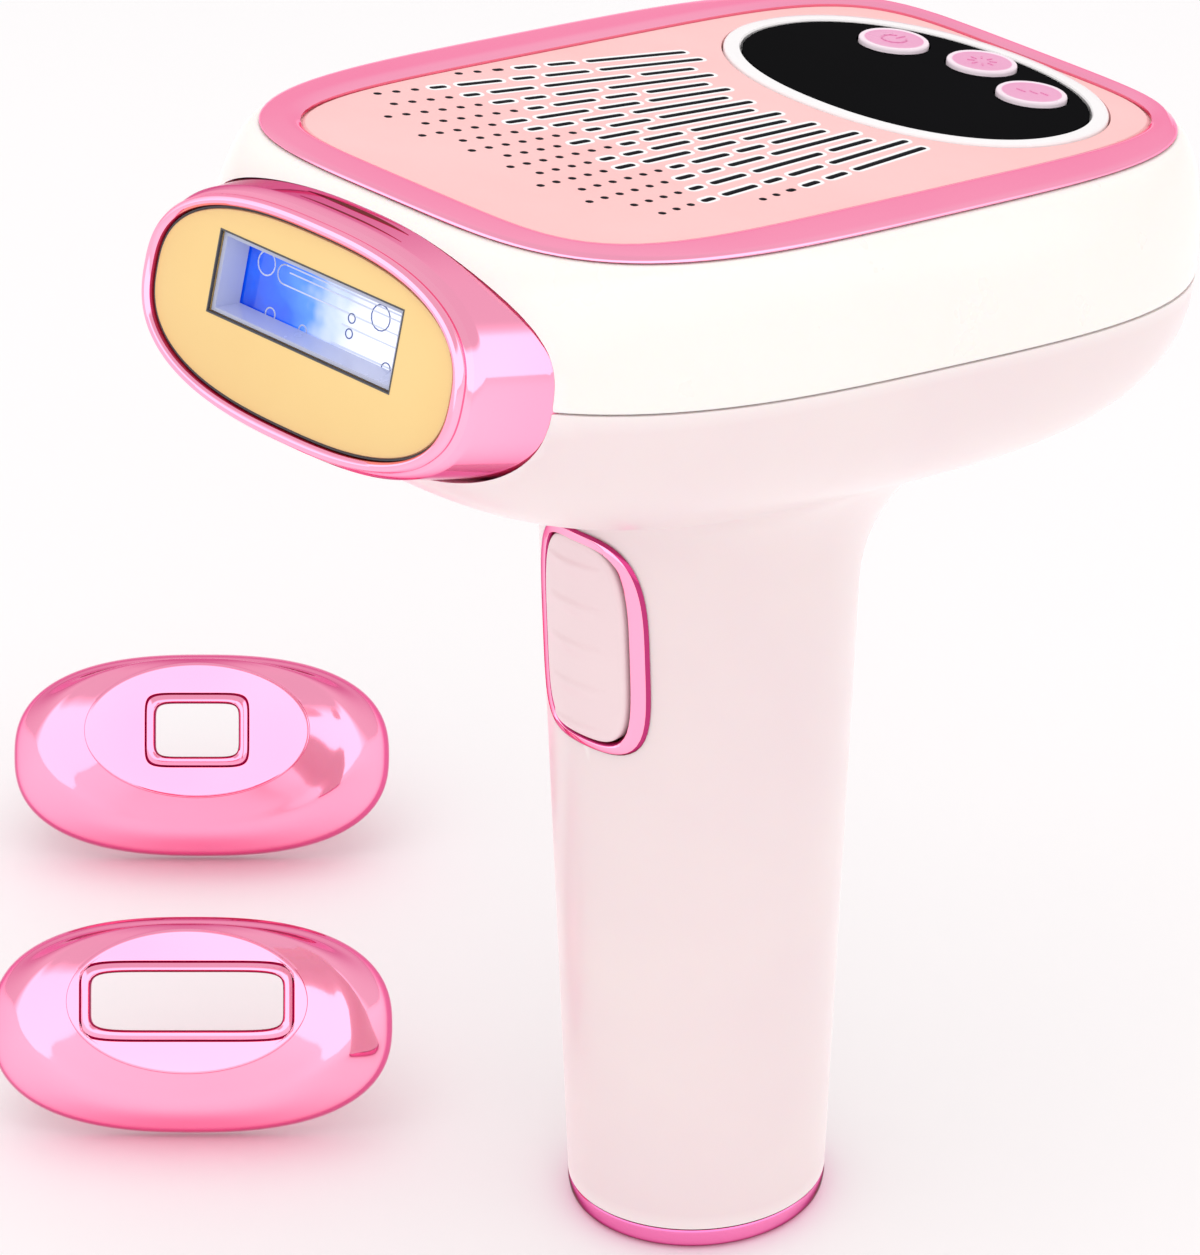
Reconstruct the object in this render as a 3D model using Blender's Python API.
"""Hand-held IPL hair remover with a pull-out lamp cartridge and two loose caps.

Metres, +Z up.  The nose points to -Y; +X is on the left of someone holding it with the nose away.
The origin is the middle of the flat base of the handle.
"""
import math
from collections import namedtuple

import bmesh
import bpy
from mathutils import Matrix, Vector

MM = 0.001
GAP = 0.3 * MM
WALL = 2.2 * MM
TAU = math.tau

# An oval is a superellipse: half sizes, power, offset along its second axis, and taper.
Oval = namedtuple("Oval", "half_x half_y power centre taper")

# ------------------------------------------------------------------ head
HEAD_HEIGHT = 168.3 * MM
HEAD_PITCH = math.radians(8.4)
SEAM = Oval(52.9 * MM, 79.0 * MM, 3.2, -0.5 * MM, 0.067)
SEAM_LEVEL = -2.9 * MM
RIM = Oval(46.4 * MM, 71.5 * MM, 3.8, 2.3 * MM, 0.0)
RIM_LEVEL = 18.1 * MM
UPPER_POWER = 1.96
LOWER_POWER = 2.43
BOWL_DEPTH = 31.9 * MM
LIP = 2.0 * MM

# ------------------------------------------------------------------ bezel, panel and display
CREST_LEVEL = 20.0 * MM
PANEL_EDGE = Oval(38.0 * MM, 66.0 * MM, 5.2, 3.9 * MM, 0.0)
PANEL_LEVEL = 18.7 * MM
PANEL_BOTTOM = 16.4 * MM
DISPLAY = Oval(29.8 * MM, 22.0 * MM, 2.15, 44.2 * MM, 0.0)
DISPLAY_BAND = 2.9 * MM
LENS_LEVEL = 18.9 * MM
LENS_THICKNESS = 1.6 * MM
BUTTON_RADIUS = 5.6 * MM
BUTTON_PROUD = 0.8 * MM
BUTTON_PLACES = {
    "left_button": (-14.6 * MM, 55.0 * MM),
    "middle_button": (0.0, 59.6 * MM),
    "right_button": (14.6 * MM, 55.0 * MM),
}
SLOT_ROWS = 17
SLOT_WIDTH = 1.0 * MM
SLOT_PITCH = 2.87 * MM
SLOT_SPREAD = 0.005 * MM
SLOT_FRONT = -20.0 * MM
SLOT_REAR = 14.0 * MM
SLOT_SKEW = 0.032
SLOT_FAN = 6.6

# ------------------------------------------------------------------ lamp cartridge
NOSE_FACE = -83.6 * MM
NOSE_TILT = math.radians(6.7)
NOSE_RIM = Oval(33.3 * MM, 16.6 * MM, 2.54, 0.0, 0.0)
COLLAR_REAR = Oval(36.9 * MM, 18.4 * MM, 2.56, -1.5 * MM, 0.0)
COLLAR_REAR_PLACE = -69.0 * MM
INSERT_END = -61.5 * MM
PLATE = Oval(31.1 * MM, 14.4 * MM, 2.6, 0.0, 0.0)
PLATE_FRONT = 0.5 * MM
PLATE_THICKNESS = 2.0 * MM
WINDOW_WIDTH = 38.8 * MM
WINDOW_HEIGHT = 12.6 * MM
WINDOW_RISE = 3.3 * MM
GLASS_FRONT = 5.0 * MM
LAMP_DEPTH = 14.0 * MM
LAMP_RADIUS = 2.5 * MM
LAMP_LENGTH = 37.4 * MM

# ------------------------------------------------------------------ handle and trigger
FOOT_LEVEL = 4.0 * MM
TOP_LEVEL = 120.0 * MM
FOOT_HALF = (20.3 * MM, 21.3 * MM)
TOP_HALF = (24.1 * MM, 26.0 * MM)
FLARE_FRONT = (5.0 * MM, 129.6 * MM)
FLARE_SIDE = (13.0 * MM, 119.0 * MM)
FLARE_REAR = (36.0 * MM, 98.0 * MM)
TRIGGER_HALF_WIDTH = 11.5 * MM
TRIGGER_LOW = 90.7 * MM
TRIGGER_HIGH = 128.4 * MM
BUTTON_HALF_WIDTH = 8.4 * MM
BUTTON_LOW = 92.8 * MM
BUTTON_HIGH = 127.2 * MM

# ------------------------------------------------------------------ inside the head
FAN_PLACE = (0, -8 * MM, 0)
BOARD_SCREWS = [(-27 * MM, -24 * MM), (27 * MM, -24 * MM), (-27 * MM, 48 * MM), (27 * MM, 48 * MM)]

# ------------------------------------------------------------------ base
BASE_INNER = (15.6 * MM, 16.6 * MM)
JACK_PLACE = 8.5 * MM
JACK_RADIUS = 4.3 * MM
JACK_MOUTH = 3.2 * MM

# ------------------------------------------------------------------ loose caps
CAP_OVAL = Oval(32.8 * MM, 17.6 * MM, 2.5, 0.0, 0.0)
CAP_PLATFORM = Oval(19.6 * MM, 11.8 * MM, 2.0, 4.1 * MM, 0.0)
CAP_SHOULDER = Oval(27.6 * MM, 15.3 * MM, 2.3, 1.4 * MM, 0.0)
CAP_DEPTH = 17.2 * MM
CAP_HEADING = math.radians(45.4)
CAP_LEAN = math.radians(30.0)
CAP_WINDOWS = {
    "small_window_cap": (7.2 * MM, 4.6 * MM, (-142.0 * MM, 19.8 * MM)),
    "wide_window_cap": (15.6 * MM, 4.7 * MM, (-74.9 * MM, -42.2 * MM)),
}

# ------------------------------------------------------------------ finishes: colour, roughness, metallic
FINISHES = {
    "shell_white": ((0.98, 0.93, 0.92, 1), 0.38, 0.0),
    "handle_pink_white": ((0.95, 0.87, 0.88, 1), 0.38, 0.0),
    "pink_plating": ((0.95, 0.42, 0.66, 1), 0.14, 0.85),
    "panel_peach": ((0.97, 0.66, 0.62, 1), 0.5, 0.0),
    "ring_white": ((0.96, 0.98, 0.97, 1), 0.3, 0.0),
    "lens_black": ((0.01, 0.01, 0.01, 1), 0.08, 0.0),
    "button_pink": ((0.93, 0.38, 0.6, 1), 0.3, 0.0),
    "plate_yellow": ((0.93, 0.72, 0.38, 1), 0.35, 0.0),
    "frame_lilac": ((0.55, 0.55, 0.76, 1), 0.35, 0.3),
    "filter_blue": ((0.1, 0.28, 0.95, 0.6), 0.05, 0.0),
    "trigger_pale": ((0.92, 0.8, 0.83, 1), 0.4, 0.0),
    "lamp_glass": ((0.9, 0.94, 1.0, 0.4), 0.04, 0.0),
    "bright_metal": ((0.85, 0.86, 0.88, 1), 0.2, 1.0),
    "brass": ((0.8, 0.62, 0.3, 1), 0.3, 1.0),
    "board_green": ((0.04, 0.25, 0.12, 1), 0.5, 0.0),
    "dark_plastic": ((0.05, 0.05, 0.06, 1), 0.5, 0.0),
    "grey_plastic": ((0.55, 0.55, 0.57, 1), 0.5, 0.0),
    "seal_rubber": ((0.2, 0.2, 0.22, 1), 0.7, 0.0),
    "ceramic_white": ((0.9, 0.89, 0.85, 1), 0.4, 0.0),
    "capacitor_sleeve": ((0.06, 0.09, 0.2, 1), 0.35, 0.0),
    "lead_red": ((0.6, 0.05, 0.05, 1), 0.5, 0.0),
}


# ------------------------------------------------------------------ shared helpers
def clear_scene():
    for old in list(bpy.data.objects):
        bpy.data.objects.remove(old, do_unlink=True)


def finish_material(slot):
    material = bpy.data.materials.get(slot)
    if material is None:
        colour, roughness, metallic = FINISHES[slot]
        material = bpy.data.materials.new(slot)
        material.use_nodes = True
        shader = material.node_tree.nodes["Principled BSDF"]
        shader.inputs["Base Color"].default_value = colour
        shader.inputs["Roughness"].default_value = roughness
        shader.inputs["Metallic"].default_value = metallic
    return material


def add_empty(name, parent=None, place=(0, 0, 0), tilt=(0, 0, 0)):
    empty = bpy.data.objects.new(name, None)
    bpy.context.collection.objects.link(empty)
    empty.parent = parent
    empty.location = place
    empty.rotation_euler = tilt
    return empty


def add_piece(name, shape, slot, parent=None, place=(0, 0, 0), tilt=(0, 0, 0), smooth=40):
    """Turn a bmesh into a named object with its finish; closed faces point out."""
    bmesh.ops.recalc_face_normals(shape, faces=shape.faces)
    mesh = bpy.data.meshes.new(name)
    shape.to_mesh(mesh)
    shape.free()
    if smooth:
        mesh.shade_smooth()
        mesh.set_sharp_from_angle(angle=math.radians(smooth))
    piece = bpy.data.objects.new(name, mesh)
    bpy.context.collection.objects.link(piece)
    piece.parent = parent
    piece.location = place
    piece.rotation_euler = tilt
    if slot:
        mesh.materials.append(finish_material(slot))
    return piece


def combine(target, tool, operation):
    """Boolean with a hidden tool object."""
    tool.hide_render = True
    tool.display_type = "WIRE"
    modifier = target.modifiers.new(tool.name, "BOOLEAN")
    modifier.operation = operation
    modifier.object = tool


def grow(oval, amount):
    return oval._replace(half_x=oval.half_x + amount, half_y=oval.half_y + amount)


def oval_point(oval, turn):
    """Point of the superellipse seen from its middle under an evenly turning ray."""
    across = math.cos(turn)
    along = math.sin(turn)
    reach = (abs(across) ** oval.power + abs(along) ** oval.power) ** (-1 / oval.power)
    x = oval.half_x * reach * across * (1 + oval.taper * reach * along)
    return x, oval.centre + oval.half_y * reach * along


def turns(count):
    return [TAU * step / count for step in range(count)]


def flat_ring(oval, level, count):
    return [Vector((*oval_point(oval, turn), level)) for turn in turns(count)]


def front_ring(oval, place, count):
    """Oval standing upright across the head, its second axis along the head's height."""
    points = [oval_point(oval, turn) for turn in turns(count)]
    return [Vector((x, place, height)) for x, height in points]


def blend_ring(first, second, share):
    return [a.lerp(b, share) for a, b in zip(first, second)]


def loft(rings, capped=False):
    """Skin over rings of equal count: capped at both ends, or closed back on the first ring."""
    shape = bmesh.new()
    rows = [[shape.verts.new(point) for point in ring] for ring in rings]
    count = len(rows[0])
    spans = len(rows) - 1 if capped else len(rows)
    for row in range(spans):
        low = rows[row]
        high = rows[(row + 1) % len(rows)]
        for step in range(count):
            after = (step + 1) % count
            shape.faces.new((low[step], low[after], high[after], high[step]))
    if capped:
        shape.faces.new(rows[0])
        shape.faces.new(rows[-1])
    return shape


def block(size, centre=(0, 0, 0)):
    shape = bmesh.new()
    bmesh.ops.create_cube(shape, size=1.0)
    bmesh.ops.scale(shape, vec=size, verts=shape.verts)
    bmesh.ops.translate(shape, vec=centre, verts=shape.verts)
    return shape


def turned(profile, count=16):
    """Solid of revolution about Z from (radius, level) pairs; radius 0 closes on the axis."""
    shape = bmesh.new()
    rows = []
    for radius, level in profile:
        if radius == 0:
            rows.append([shape.verts.new((0, 0, level))])
        else:
            spots = [(radius * math.cos(t), radius * math.sin(t), level) for t in turns(count)]
            rows.append([shape.verts.new(spot) for spot in spots])
    for low, high in zip(rows, rows[1:]):
        for step in range(count):
            after = (step + 1) % count
            corners = [low[step % len(low)], low[after % len(low)]]
            corners += [high[after % len(high)], high[step % len(high)]]
            unique = [spot for index, spot in enumerate(corners) if spot not in corners[:index]]
            shape.faces.new(unique)
    return shape


def cylinder(radius, low, high, count=16):
    return turned([(0, low), (radius, low), (radius, high), (0, high)], count)


def prism(outline, low, high):
    """Upright prism over a closed outline of (x, y) points."""
    return loft([[Vector((x, y, level)) for x, y in outline] for level in (low, high)], capped=True)


def merge(shapes):
    """Several separate bodies in one bmesh, used only as Boolean tools."""
    whole = bmesh.new()
    for shape in shapes:
        mesh = bpy.data.meshes.new("tool_part")
        bmesh.ops.recalc_face_normals(shape, faces=shape.faces)
        shape.to_mesh(mesh)
        shape.free()
        whole.from_mesh(mesh)
        bpy.data.meshes.remove(mesh)
    return whole


def move(shape, place):
    bmesh.ops.translate(shape, vec=place, verts=shape.verts)
    return shape


def lead(name, points, radius, slot):
    """Round wire through hand-placed points."""
    curve = bpy.data.curves.new(name, "CURVE")
    curve.dimensions = "3D"
    curve.bevel_depth = radius
    curve.bevel_resolution = 2
    curve.use_fill_caps = True
    spline = curve.splines.new("POLY")
    knots = [Vector(point) for point in points]
    route = []
    for index in range(len(knots) - 1):
        before = knots[max(index - 1, 0)]
        start = knots[index]
        end = knots[index + 1]
        beyond = knots[min(index + 2, len(knots) - 1)]
        for step in range(3):
            t = step / 3
            route.append(0.5 * (2 * start + (end - before) * t
                                + (2 * before - 5 * start + 4 * end - beyond) * t ** 2
                                + (3 * start - before - 3 * end + beyond) * t ** 3))
    route.append(knots[-1])
    spline.points.add(len(route) - 1)
    for spot, point in zip(spline.points, route):
        spot.co = (*point, 1)
    piece = bpy.data.objects.new(name, curve)
    bpy.context.collection.objects.link(piece)
    curve.materials.append(finish_material(slot))
    return piece


# ------------------------------------------------------------------ head and handle shells
HEAD_MATRIX = Matrix.Translation((0, 0, HEAD_HEIGHT)) @ Matrix.Rotation(-HEAD_PITCH, 4, "X")
SHELL_POINTS = 44


def upper_ring(inset, lip, quarter):
    """Ring of the upper head skin; quarter runs from 0 at the seam to 1 at the top rim."""
    angle = quarter * math.pi / 2
    keep = math.cos(angle) ** (2 / UPPER_POWER) if quarter < 1 else 0.0
    rise = math.sin(angle) ** (2 / UPPER_POWER)
    base = SEAM_LEVEL + GAP / 2
    level = base + (RIM_LEVEL - inset - base) * rise
    outer = flat_ring(grow(SEAM, -inset), level, SHELL_POINTS)
    inner = flat_ring(grow(RIM, -lip), level, SHELL_POINTS)
    return blend_ring(inner, outer, keep)


def make_upper_shell(head, opening):
    outer = [upper_ring(0, 0, quarter) for quarter in (0, 0.22, 0.42, 0.62, 0.8, 0.92, 1)]
    inner = [upper_ring(WALL, LIP, quarter) for quarter in (1, 0.85, 0.6, 0.3, 0)]
    lip_top = flat_ring(grow(RIM, -LIP), RIM_LEVEL, SHELL_POINTS)
    shell = add_piece("upper_shell", loft(outer + [lip_top] + inner), "shell_white", head)
    combine(shell, opening, "DIFFERENCE")


def handle_point(turn, level, inset):
    share = (level - FOOT_LEVEL) / (TOP_LEVEL - FOOT_LEVEL)
    half_x = FOOT_HALF[0] + (TOP_HALF[0] - FOOT_HALF[0]) * share - inset
    half_y = FOOT_HALF[1] + (TOP_HALF[1] - FOOT_HALF[1]) * share - inset
    return Vector((half_x * math.cos(turn), half_y * math.sin(turn), level))


def bowl_point(turn, angle, inset):
    """Point of the lower head skin in the world; angle is 0 at the seam and pi/2 at the bottom."""
    keep = math.cos(angle) ** (2 / LOWER_POWER)
    drop = math.sin(angle) ** (2 / LOWER_POWER)
    x, y = oval_point(grow(SEAM, -inset), turn)
    level = SEAM_LEVEL - GAP / 2 - (BOWL_DEPTH - inset) * drop
    return HEAD_MATRIX @ Vector((x * keep, y * keep, level))


def flare(turn):
    """Reach and foot level of the blend between bowl and handle, by direction."""
    along = math.sin(turn)
    end = FLARE_REAR if along > 0 else FLARE_FRONT
    share = along * along
    return [side + (far - side) * share for side, far in zip(FLARE_SIDE, end)]


def lower_column(turn, inset, bowl_steps, flare_steps, handle_steps):
    """One meridian of the lower shell, from the seam down to the foot of the handle."""
    reach, flare_foot = flare(turn)
    end = handle_point(turn, flare_foot, inset)
    seam = Vector(oval_point(grow(SEAM, -inset), turn))
    keep = (Vector((end.x, end.y)).length + reach) / seam.length
    last = math.acos(keep ** (LOWER_POWER / 2))
    column = [bowl_point(turn, last * step / bowl_steps, inset) for step in range(bowl_steps + 1)]
    start = column[-1]
    slope = (start - bowl_point(turn, last * 0.98, inset)).normalized()
    sideways = Vector((start.x - end.x, start.y - end.y)).length
    first_pull = start + slope * sideways * 0.55
    second_pull = end + Vector((0, 0, 1)) * (start.z - end.z) * 0.6
    for step in range(1, flare_steps):
        t = step / flare_steps
        s = 1 - t
        column.append(s ** 3 * start + 3 * s * s * t * first_pull
                      + 3 * s * t * t * second_pull + t ** 3 * end)
    for step in range(handle_steps + 1):
        level = flare_foot + (FOOT_LEVEL - flare_foot) * step / handle_steps
        column.append(handle_point(turn, level, inset))
    return column


def make_handle_shell(opening, trigger_hole):
    outer = [lower_column(turn, 0, 6, 5, 3) for turn in turns(SHELL_POINTS)]
    inner = [lower_column(turn, WALL, 4, 3, 2) for turn in turns(SHELL_POINTS)]
    rings = [list(ring) for ring in zip(*outer)] + [list(ring) for ring in zip(*inner)][::-1]
    shell = add_piece("handle_shell", loft(rings), "handle_pink_white")
    combine(shell, opening, "DIFFERENCE")
    combine(shell, trigger_hole, "DIFFERENCE")


def make_nose_opening(head):
    rear = grow(COLLAR_REAR, 0.4 * MM)
    rings = [front_ring(rear, -100 * MM, 40), front_ring(rear, -63 * MM, 40)]
    return add_piece("nose_opening", loft(rings, capped=True), None, head, smooth=0)


# ------------------------------------------------------------------ top of the head
def make_bezel(head):
    low = RIM_LEVEL + GAP
    crest = grow(PANEL_EDGE, 0.7 * MM)
    rings = [
        flat_ring(grow(RIM, -0.1 * MM), low, 44),
        flat_ring(grow(RIM, -0.3 * MM), low + 0.5 * MM, 44),
        flat_ring(crest, CREST_LEVEL, 44),
        flat_ring(PANEL_EDGE, CREST_LEVEL - 0.2 * MM, 44),
        flat_ring(PANEL_EDGE, low, 44),
    ]
    add_piece("top_bezel", loft(rings), "pink_plating", head)


def slot_outline(row):
    """Slot along the head that leans outwards towards the nose; the rows stand wider apart at the sides."""
    offset = row - SLOT_ROWS / 2
    rear_x = SLOT_PITCH * offset + SLOT_SPREAD * offset ** 3
    lean = SLOT_SKEW + (-SLOT_FAN * rear_x)
    rear = SLOT_REAR + (rear_x / (SLOT_PITCH * SLOT_ROWS)) ** 2 * 28 * MM
    half = SLOT_WIDTH / 2
    outline = []
    for end, start in ((rear, 0.0), (SLOT_FRONT, math.pi)):
        for step in range(4):
            angle = start + math.pi * step / 3
            middle = rear_x + lean * (end - 20 * MM)
            outline.append((middle + half * math.cos(angle), end + half * math.sin(angle)))
    return outline


def make_vent_panel(head):
    flange = grow(RIM, -LIP - 0.4 * MM)
    edge = grow(PANEL_EDGE, -GAP)
    rings = [
        flat_ring(flange, PANEL_BOTTOM, 44),
        flat_ring(flange, RIM_LEVEL, 44),
        flat_ring(edge, RIM_LEVEL, 44),
        flat_ring(edge, PANEL_LEVEL, 44),
    ]
    panel = add_piece("vent_panel", loft(rings, capped=True), "panel_peach", head)
    low = PANEL_BOTTOM - 2 * MM
    high = PANEL_LEVEL + 2 * MM
    slots = merge([prism(slot_outline(row), low, high) for row in range(SLOT_ROWS)])
    combine(panel, add_piece("slot_tool", slots, None, head, smooth=0), "DIFFERENCE")
    hole = grow(DISPLAY, DISPLAY_BAND + GAP)
    rings = [flat_ring(hole, low, 40), flat_ring(hole, high, 40)]
    combine(panel, add_piece("display_tool", loft(rings, capped=True), None, head, smooth=0), "DIFFERENCE")


def make_display(head):
    outer = grow(DISPLAY, DISPLAY_BAND)
    bottom = 15.2 * MM
    ledge = LENS_LEVEL - LENS_THICKNESS - GAP
    rings = [
        flat_ring(outer, bottom, 36),
        flat_ring(outer, LENS_LEVEL, 36),
        flat_ring(grow(outer, -0.3 * MM), LENS_LEVEL + 0.25 * MM, 36),
        flat_ring(grow(DISPLAY, 0.5 * MM), LENS_LEVEL + 0.25 * MM, 36),
        flat_ring(grow(DISPLAY, GAP), LENS_LEVEL, 36),
        flat_ring(grow(DISPLAY, GAP), ledge, 36),
        flat_ring(grow(DISPLAY, -0.8 * MM), ledge, 36),
        flat_ring(grow(DISPLAY, -0.8 * MM), bottom, 36),
    ]
    add_piece("display_ring", loft(rings), "ring_white", head)
    lens_low = LENS_LEVEL - LENS_THICKNESS
    rings = [flat_ring(DISPLAY, lens_low, 36), flat_ring(DISPLAY, LENS_LEVEL, 36)]
    lens = add_piece("display_lens", loft(rings, capped=True), "lens_black", head)
    holes = []
    for x, y in BUTTON_PLACES.values():
        holes.append(move(cylinder(BUTTON_RADIUS + GAP, 12 * MM, 24 * MM, 20), (x, y, 0)))
    combine(lens, add_piece("button_tool", merge(holes), None, head, smooth=0), "DIFFERENCE")
    add_piece("display_module", block((36 * MM, 17 * MM, 5.2 * MM)), "dark_plastic",
              head, (0, 38 * MM, 14.3 * MM))
    add_piece("display_board", block((52 * MM, 34 * MM, 1.2 * MM)), "board_green",
              head, (0, 46.5 * MM, 10.8 * MM))


def make_top_buttons(head):
    high = LENS_LEVEL + BUTTON_PROUD
    profile = [
        (0, 14.2 * MM), (2 * MM, 14.2 * MM), (2 * MM, 17.0 * MM), (BUTTON_RADIUS, 17.0 * MM),
        (BUTTON_RADIUS, high - 0.4 * MM), (BUTTON_RADIUS - 0.4 * MM, high), (0, high + 0.1 * MM),
    ]
    for name, (x, y) in BUTTON_PLACES.items():
        add_piece(name, turned(profile, 20), "button_pink", head, (x, y, 0))
        switch = "switch_" + name.split("_")[0]
        add_piece(switch, block((6 * MM, 6 * MM, 1.6 * MM)), "dark_plastic", head, (x, y, 12.5 * MM))


# ------------------------------------------------------------------ lamp cartridge
def tilted(ring):
    """Ring drawn on the nose face, (x, up, inwards), placed in the cartridge's frame."""
    turn = Matrix.Rotation(-NOSE_TILT, 3, "X")
    return [turn @ Vector((point.x, point.z, point.y)) for point in ring]


def face_ring(oval, inwards, count=40):
    points = [oval_point(oval, turn) for turn in turns(count)]
    return tilted([Vector((x, up, inwards)) for x, up in points])


def straight_ring(oval, place, count=40):
    return [point - Vector((0, NOSE_FACE, 0)) for point in front_ring(oval, place, count)]


def make_collar(cartridge):
    insert = grow(COLLAR_REAR, -0.9 * MM)
    rings = [
        face_ring(grow(PLATE, 0.5 * MM), -0.1 * MM),
        face_ring(grow(NOSE_RIM, -0.9 * MM), -0.7 * MM),
        face_ring(NOSE_RIM, 0.5 * MM),
        face_ring(grow(NOSE_RIM, 1.1 * MM), 3.2 * MM),
        straight_ring(COLLAR_REAR, COLLAR_REAR_PLACE),
        straight_ring(insert, COLLAR_REAR_PLACE),
        straight_ring(insert, INSERT_END),
        straight_ring(grow(insert, -2.4 * MM), INSERT_END),
        face_ring(grow(PLATE, GAP), 5.5 * MM),
        face_ring(grow(PLATE, GAP), 0.6 * MM),
    ]
    add_piece("nose_collar", loft(rings), "pink_plating", cartridge)


def make_nose_plate(cartridge, nose):
    rings = [face_ring(PLATE, PLATE_FRONT), face_ring(PLATE, PLATE_FRONT + PLATE_THICKNESS)]
    plate = add_piece("nose_plate", loft(rings, capped=True), "plate_yellow", cartridge)
    hole = block((WINDOW_WIDTH, 30 * MM, WINDOW_HEIGHT), (0, 0, WINDOW_RISE))
    combine(plate, add_piece("window_tool", hole, None, nose, smooth=0), "DIFFERENCE")


def rectangle_ring(width, height, inwards):
    half = width / 2
    low = WINDOW_RISE - height / 2
    high = WINDOW_RISE + height / 2
    return [Vector(spot) for spot in ((-half, inwards, low), (half, inwards, low),
                                      (half, inwards, high), (-half, inwards, high))]


def make_window(nose):
    inside = 0.6 * MM
    flange_front = PLATE_FRONT + PLATE_THICKNESS + 1.2 * MM
    rings = [
        rectangle_ring(WINDOW_WIDTH - inside, WINDOW_HEIGHT - inside, 1.0 * MM),
        rectangle_ring(WINDOW_WIDTH - inside, WINDOW_HEIGHT - inside, flange_front),
        rectangle_ring(42 * MM, 15.6 * MM, flange_front),
        rectangle_ring(42 * MM, 15.6 * MM, GLASS_FRONT - GAP),
        rectangle_ring(34.6 * MM, 9.2 * MM, GLASS_FRONT - GAP),
        rectangle_ring(36.8 * MM, 10.8 * MM, 1.0 * MM),
    ]
    add_piece("window_frame", loft(rings), "frame_lilac", nose, smooth=0)
    seal_low = PLATE_FRONT + PLATE_THICKNESS + 0.2 * MM
    rings = [
        rectangle_ring(43 * MM, 15.8 * MM, seal_low),
        rectangle_ring(43 * MM, 15.8 * MM, flange_front - 0.2 * MM),
        rectangle_ring(39 * MM, 12.8 * MM, flange_front - 0.2 * MM),
        rectangle_ring(39 * MM, 12.8 * MM, seal_low),
    ]
    add_piece("plate_seal", loft(rings), "seal_rubber", nose, smooth=0)
    glass = block((40 * MM, 2.0 * MM, 14 * MM), (0, GLASS_FRONT + 1.0 * MM, WINDOW_RISE))
    add_piece("filter_glass", glass, "filter_blue", nose, smooth=0)


def make_reflector(nose):
    """Trough round the lamp, open towards the window."""
    front = GLASS_FRONT + 2.0 * MM + GAP
    depth = 12.8 * MM
    steps = 8
    arcs = []
    for half, deep in ((6.4 * MM, depth), (5.8 * MM, depth - 0.6 * MM)):
        angles = [math.pi * step / steps for step in range(steps + 1)]
        arcs.append([(front + deep * math.sin(a), WINDOW_RISE + half * math.cos(a)) for a in angles])
    outline = arcs[0] + arcs[1][::-1]
    rings = [[Vector((x, inwards, up)) for inwards, up in outline] for x in (-17.5 * MM, 17.5 * MM)]
    add_piece("reflector", loft(rings, capped=True), "bright_metal", nose)


def make_lamp(nose):
    across = (0, math.pi / 2, 0)
    place = (0, LAMP_DEPTH, WINDOW_RISE)
    half = LAMP_LENGTH / 2
    tube = [
        (0, -half), (1.2 * MM, -half), (LAMP_RADIUS, -half + 1.5 * MM),
        (LAMP_RADIUS, half - 1.5 * MM), (1.2 * MM, half), (0, half),
    ]
    add_piece("flash_lamp", turned(tube, 16), "lamp_glass", nose, place, across)
    for side, name in ((-1, "left"), (1, "right")):
        low, high = sorted((side * (half + GAP), side * (half + 5 * MM)))
        add_piece("lamp_cap_" + name, cylinder(3.6 * MM, low, high, 16), "ceramic_white", nose, place, across)
        contact = block((5 * MM, 6 * MM, 3 * MM), (side * 21 * MM, 25.4 * MM, WINDOW_RISE))
        add_piece("lamp_contact_" + name, contact, "brass", nose, smooth=0)


def make_lamp_holder(nose):
    back = 20.6 * MM
    plate = block((56 * MM, 1.5 * MM, 19 * MM), (0, back + 0.75 * MM, 1 * MM))
    holder = add_piece("lamp_holder", plate, "grey_plastic", nose, smooth=0)
    arms = []
    for side in (-1, 1):
        arms.append(block((2.4 * MM, 13 * MM, 13 * MM), (side * 25.6 * MM, back - 6.3 * MM, WINDOW_RISE)))
    combine(holder, add_piece("arm_tool", merge(arms), None, nose, smooth=0), "UNION")


# ------------------------------------------------------------------ inside the head
def make_contact_block(head):
    add_piece("contact_block", block((52 * MM, 3 * MM, 12 * MM)), "dark_plastic",
              head, (0, -53.0 * MM, 2 * MM))


def make_heat_sink(head):
    fins = 9
    pitch = 6.4 * MM
    fin = 1.6 * MM
    rear = 15 * MM
    half = pitch * (fins - 1) / 2 + fin / 2
    outline = [(half, 0), (-half, 0)]
    for index in range(fins):
        middle = -pitch * (fins - 1) / 2 + pitch * index
        outline.append((middle - fin / 2, rear))
        outline.append((middle + fin / 2, rear))
        if index < fins - 1:
            outline.append((middle + fin / 2, 3 * MM))
            outline.append((middle + pitch - fin / 2, 3 * MM))
    add_piece("heat_sink", prism(outline, -11 * MM, 8 * MM), "bright_metal",
              head, (0, -49.5 * MM, 0), smooth=0)


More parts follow.
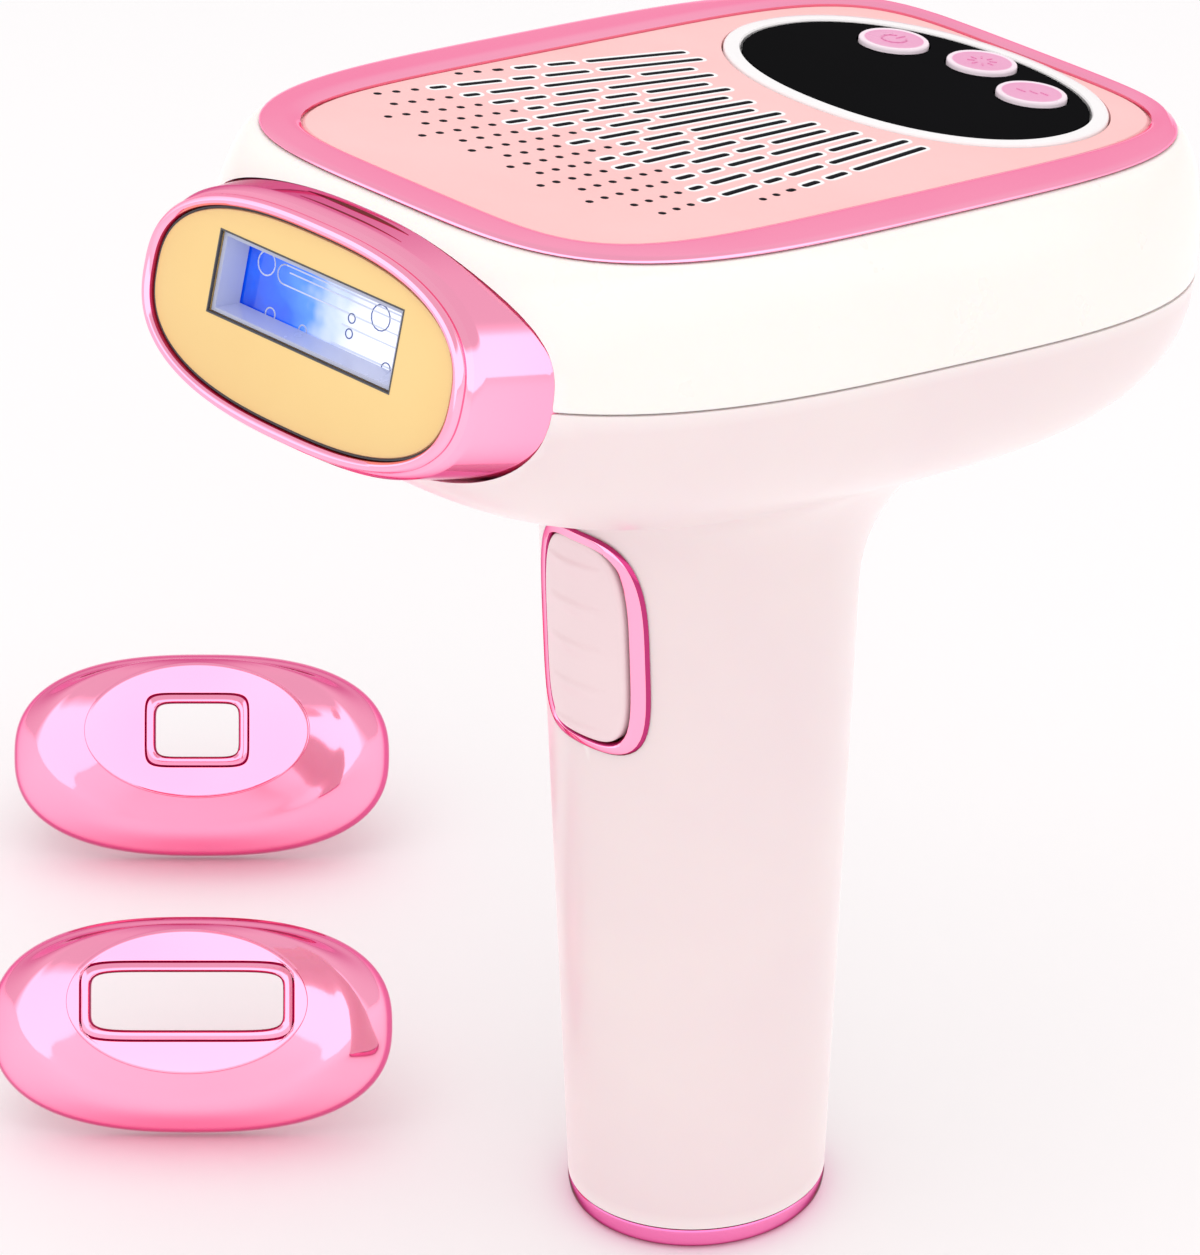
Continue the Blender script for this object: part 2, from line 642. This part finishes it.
def make_fan(head):
    frame = add_piece("fan_frame", block((42 * MM, 42 * MM, 10 * MM), (0, 0, 9.2 * MM)),
                      "dark_plastic", head, FAN_PLACE, smooth=0)
    bore = cylinder(19.4 * MM, 5.6 * MM, 30 * MM, 28)
    combine(frame, add_piece("fan_bore_tool", bore, None, head, FAN_PLACE, smooth=0), "DIFFERENCE")
    ports = []
    for quarter in range(4):
        points = []
        for radius, angles in ((18 * MM, (10, 33, 57, 80)), (8 * MM, (68, 45, 22))):
            for angle in angles:
                turn = math.radians(angle + 90 * quarter)
                points.append((radius * math.cos(turn), radius * math.sin(turn)))
        ports.append(prism(points, 0, 8 * MM))
    combine(frame, add_piece("fan_port_tool", merge(ports), None, head, FAN_PLACE, smooth=0), "DIFFERENCE")

    blades = 7
    outline = []
    for blade in range(blades):
        base = TAU * blade / blades
        for radius, shift in ((8.0, 0.0), (13.0, 0.22), (18.0, 0.40), (18.0, 0.46), (13.0, 0.32), (8.0, 0.2)):
            turn = base + shift
            outline.append((radius * MM * math.cos(turn), radius * MM * math.sin(turn)))
        turn = base + TAU / blades * 0.62
        outline.append((8.0 * MM * math.cos(turn), 8.0 * MM * math.sin(turn)))
    add_piece("fan_rotor", prism(outline, 6.0 * MM, 13.4 * MM), "dark_plastic", head, FAN_PLACE, smooth=0)


def make_inner_frame(head):
    plate = Oval(46.0 * MM, 58.0 * MM, 3.0, 11 * MM, 0.0)
    rings = [flat_ring(plate, -14 * MM, 32), flat_ring(plate, -12 * MM, 32)]
    frame = add_piece("inner_frame", loft(rings, capped=True), "grey_plastic", head)
    posts = [move(cylinder(2.8 * MM, -13 * MM, -6.3 * MM, 12), (*spot, 0)) for spot in BOARD_SCREWS]
    combine(frame, add_piece("post_tool", merge(posts), None, head, smooth=0), "UNION")
    holes = [move(cylinder(1.4 * MM, -12.5 * MM, 0, 10), (x, y, 0)) for x, y in BOARD_SCREWS]
    holes.append(move(cylinder(7 * MM, -16 * MM, -10 * MM, 16), (0, 3 * MM, 0)))
    combine(frame, add_piece("frame_hole_tool", merge(holes), None, head, smooth=0), "DIFFERENCE")

    board = add_piece("main_board", block((62 * MM, 82 * MM, 1.6 * MM), (0, 12 * MM, -5.2 * MM)),
                      "board_green", head, smooth=0)
    holes = [move(cylinder(1.4 * MM, -9 * MM, 0, 10), (x, y, 0)) for x, y in BOARD_SCREWS]
    combine(board, add_piece("board_hole_tool", merge(holes), None, head, smooth=0), "DIFFERENCE")
    profile = [
        (0, -11.5 * MM), (1.1 * MM, -11.5 * MM), (1.1 * MM, -4.1 * MM), (2.3 * MM, -4.1 * MM),
        (2.3 * MM, -3.0 * MM), (1.6 * MM, -2.4 * MM), (0, -2.4 * MM),
    ]
    for index, (x, y) in enumerate(BOARD_SCREWS, 1):
        add_piece(f"board_screw_{index}", turned(profile, 10), "bright_metal", head, (x, y, 0))
    add_piece("transformer", block((26 * MM, 22 * MM, 11.6 * MM)), "dark_plastic",
              head, (0, 38 * MM, 1.7 * MM))


# ------------------------------------------------------------------ trigger
def trigger_outline(half_width, low, high, count=32):
    """Arch-topped outline on the handle's front as (x, level) points."""
    middle = (low + high) / 2
    half_height = (high - low) / 2
    points = []
    for turn in turns(count):
        power = 3.2 if math.sin(turn) > 0 else 4.6
        across = math.cos(turn)
        along = math.sin(turn)
        reach = (abs(across) ** power + abs(along) ** power) ** (-1 / power)
        points.append((half_width * reach * across, middle + half_height * reach * along))
    return points


def on_handle(points, inwards):
    """Points (x, level) placed on the handle's front skin, moved inwards along Y."""
    ring = []
    for x, level in points:
        share = (level - FOOT_LEVEL) / (TOP_LEVEL - FOOT_LEVEL)
        half_x = FOOT_HALF[0] + (TOP_HALF[0] - FOOT_HALF[0]) * share
        half_y = FOOT_HALF[1] + (TOP_HALF[1] - FOOT_HALF[1]) * share
        ring.append(Vector((x, inwards - half_y * math.sqrt(1 - (x / half_x) ** 2), level)))
    return ring


def shrink(points, share):
    middle = (TRIGGER_LOW + TRIGGER_HIGH) / 2
    return [(x * share, middle + (level - middle) * share) for x, level in points]


def make_trigger_hole():
    points = trigger_outline(TRIGGER_HALF_WIDTH - 0.9 * MM, TRIGGER_LOW + 0.7 * MM, TRIGGER_HIGH - 0.7 * MM)
    rings = [[Vector((x, place, level)) for x, level in points] for place in (-40 * MM, -12 * MM)]
    return add_piece("trigger_hole", loft(rings, capped=True), None, smooth=0)


def make_trigger():
    brim = trigger_outline(TRIGGER_HALF_WIDTH, TRIGGER_LOW, TRIGGER_HIGH)
    body = trigger_outline(TRIGGER_HALF_WIDTH - 1.2 * MM, TRIGGER_LOW + 1.0 * MM, TRIGGER_HIGH - 1.0 * MM)
    inner = trigger_outline(BUTTON_HALF_WIDTH + GAP, BUTTON_LOW - GAP, BUTTON_HIGH + GAP)
    lip = trigger_outline(BUTTON_HALF_WIDTH + 0.7 * MM, BUTTON_LOW - 0.5 * MM, BUTTON_HIGH + 0.4 * MM)
    rings = [
        on_handle(body, 3.2 * MM), on_handle(body, -0.3 * MM), on_handle(brim, -0.3 * MM),
        on_handle(brim, -0.7 * MM), on_handle(lip, -1.2 * MM),
        on_handle(inner, -0.8 * MM), on_handle(inner, 3.2 * MM),
    ]
    add_piece("trigger_bezel", loft(rings), "pink_plating")

    edge = trigger_outline(BUTTON_HALF_WIDTH, BUTTON_LOW, BUTTON_HIGH)
    middle = (BUTTON_LOW + BUTTON_HIGH) / 2
    rings = [on_handle(shrink(edge, 0.3), 2.4 * MM), on_handle(edge, 2.4 * MM), on_handle(edge, -0.8 * MM)]
    rings += [on_handle(shrink(edge, share), -1.5 * MM) for share in (0.9, 0.55, 0.2)]
    anchor = Vector((0, -TOP_HALF[1], middle))
    rings = [[point - anchor for point in ring] for ring in rings]
    add_piece("trigger_button", loft(rings, capped=True), "trigger_pale", None, anchor)

    add_piece("trigger_switch", block((11 * MM, 7 * MM, 9 * MM)), "dark_plastic",
              None, (0, -16.8 * MM, middle))
    add_piece("trigger_bracket", block((24 * MM, 1.6 * MM, 36 * MM)), "grey_plastic",
              None, (0, -12.2 * MM, middle))


def make_trigger_spring():
    """Return spring on the bracket; it stays clear of the trigger through its whole travel."""
    coils = 4
    steps = 8
    sides = 5
    radius = 2.6 * MM
    wire = 0.4 * MM
    front = -20.6 * MM
    length = 6.6 * MM
    rings = []
    for step in range(coils * steps + 1):
        turn = TAU * step / steps
        along = front + length * step / (coils * steps)
        outward = Vector((math.cos(turn), 0, math.sin(turn)))
        ring = []
        for side in turns(sides):
            ring.append(Vector((0, along, 0)) + outward * (radius + wire * math.cos(side))
                        + Vector((0, 1, 0)) * wire * math.sin(side))
        rings.append(ring)
    add_piece("trigger_spring", loft(rings, capped=True), "bright_metal", None, (0, 0, 121.5 * MM))


# ------------------------------------------------------------------ handle contents and base
def level_ring(half, level, count=32):
    return [Vector((half[0] * math.cos(t), half[1] * math.sin(t), level)) for t in turns(count)]


def shift(half, amount):
    return (half[0] + amount, half[1] + amount)


def make_base():
    top = FOOT_LEVEL - GAP
    register = shift(FOOT_HALF, -WALL - 0.4 * MM)
    rings = [
        level_ring(FOOT_HALF, top),
        level_ring(register, top),
        level_ring(register, 8 * MM),
        level_ring(BASE_INNER, 8 * MM),
        level_ring(BASE_INNER, 0),
        level_ring(shift(FOOT_HALF, -1.5 * MM), 0),
        level_ring(shift(FOOT_HALF, -0.6 * MM), 0.6 * MM),
        level_ring(shift(FOOT_HALF, -0.05 * MM), 1.8 * MM),
    ]
    add_piece("base_ring", loft(rings), "pink_plating")
    plug = shift(BASE_INNER, -GAP)
    rings = [level_ring(plug, 0), level_ring(plug, 3 * MM)]
    cap = add_piece("base_cap", loft(rings, capped=True), "handle_pink_white")
    hole = cylinder(JACK_RADIUS + GAP, -5 * MM, 5 * MM)
    combine(cap, add_piece("jack_tool", hole, None, None, (0, JACK_PLACE, 0), smooth=0), "DIFFERENCE")


def make_jack():
    pin = 1.0 * MM
    pin_tip = 5.2 * MM
    floor = 10.5 * MM
    top = 11.6 * MM
    profile = [
        (0, top), (JACK_RADIUS, top), (JACK_RADIUS, 0.2 * MM), (JACK_MOUTH, 0.2 * MM),
        (JACK_MOUTH, floor), (pin, floor), (pin, pin_tip), (0, pin_tip),
    ]
    add_piece("dc_jack", turned(profile), "dark_plastic", None, (0, JACK_PLACE, 0))
    route = [(0, 8.5, 12), (0, 8.5, 14), (0, 9.6, 17), (0, 12.6, 18.5)]
    lead("dc_lead", [Vector(spot) * MM for spot in route], 1.1 * MM, "lead_red")


def make_handle_contents():
    radius = 12.3 * MM
    low = 26 * MM
    high = 78 * MM
    profile = [
        (0, low), (radius - 0.6 * MM, low), (radius, low + 0.6 * MM), (radius, high - 0.6 * MM),
        (radius - 0.6 * MM, high), (0, high),
    ]
    add_piece("flash_capacitor", turned(profile, 24), "capacitor_sleeve", None, (0, -2.4 * MM, 0))
    add_piece("power_board", block((23 * MM, 1.6 * MM, 74 * MM)), "board_green",
              None, (0, 13.8 * MM, 53 * MM))
    route = [(0, 11.2, 91), (0, 9.5, 103), (0, 6, 122), (0, 3, 140), (0, 2, 152), (0, 2, 160.2)]
    lead("main_lead", [Vector(spot) * MM for spot in route], 1.8 * MM, "lead_red")


# ------------------------------------------------------------------ loose caps
def make_cap(name, window_half_x, window_half_y, place):
    """Domed push-on cap: outer skin from the back rim to the window, then the inner skin back."""
    window = Oval(window_half_x, window_half_y, 7.0, CAP_PLATFORM.centre, 0.0)
    wall = 1.8 * MM
    outer = [
        (CAP_OVAL, 0), (grow(CAP_OVAL, 0.1 * MM), 3 * MM), (grow(CAP_OVAL, -1.2 * MM), 8.5 * MM),
        (CAP_SHOULDER, 13.4 * MM), (CAP_PLATFORM, 16.2 * MM), (grow(CAP_PLATFORM, -0.4 * MM), CAP_DEPTH),
        (grow(window, 1.4 * MM), CAP_DEPTH), (grow(window, 1.1 * MM), CAP_DEPTH + 0.5 * MM),
        (grow(window, 0.2 * MM), CAP_DEPTH + 0.5 * MM), (window, CAP_DEPTH),
    ]
    inner = [
        (window, CAP_DEPTH - wall - 0.2 * MM),
        (grow(CAP_PLATFORM, -1.6 * MM), 16.2 * MM - wall),
        (grow(CAP_SHOULDER, -wall), 13.4 * MM - wall),
        (grow(CAP_OVAL, -1.2 * MM - wall), 7.6 * MM),
        (grow(CAP_OVAL, -wall), 0),
    ]
    rings = [flat_ring(oval, level, 32) for oval, level in outer + inner]
    height = CAP_OVAL.half_y * math.cos(CAP_LEAN) + 0.05 * MM
    tilt = (math.pi / 2 - CAP_LEAN, 0, CAP_HEADING)
    add_piece(name, loft(rings), "pink_plating", None, (*place, height), tilt)


def main():
    clear_scene()
    head = add_empty("head", None, (0, 0, HEAD_HEIGHT), (-HEAD_PITCH, 0, 0))
    cartridge = add_empty("cartridge", head, (0, NOSE_FACE, 0))
    nose = add_empty("nose", cartridge, (0, 0, 0), (-NOSE_TILT, 0, 0))
    opening = make_nose_opening(head)
    make_upper_shell(head, opening)
    make_handle_shell(opening, make_trigger_hole())
    make_bezel(head)
    make_vent_panel(head)
    make_display(head)
    make_top_buttons(head)
    make_collar(cartridge)
    make_nose_plate(cartridge, nose)
    make_window(nose)
    make_reflector(nose)
    make_lamp(nose)
    make_lamp_holder(nose)
    make_contact_block(head)
    make_heat_sink(head)
    make_fan(head)
    make_inner_frame(head)
    make_trigger()
    make_trigger_spring()
    make_base()
    make_jack()
    make_handle_contents()
    for name, (half_x, half_y, place) in CAP_WINDOWS.items():
        make_cap(name, half_x, half_y, place)


main()
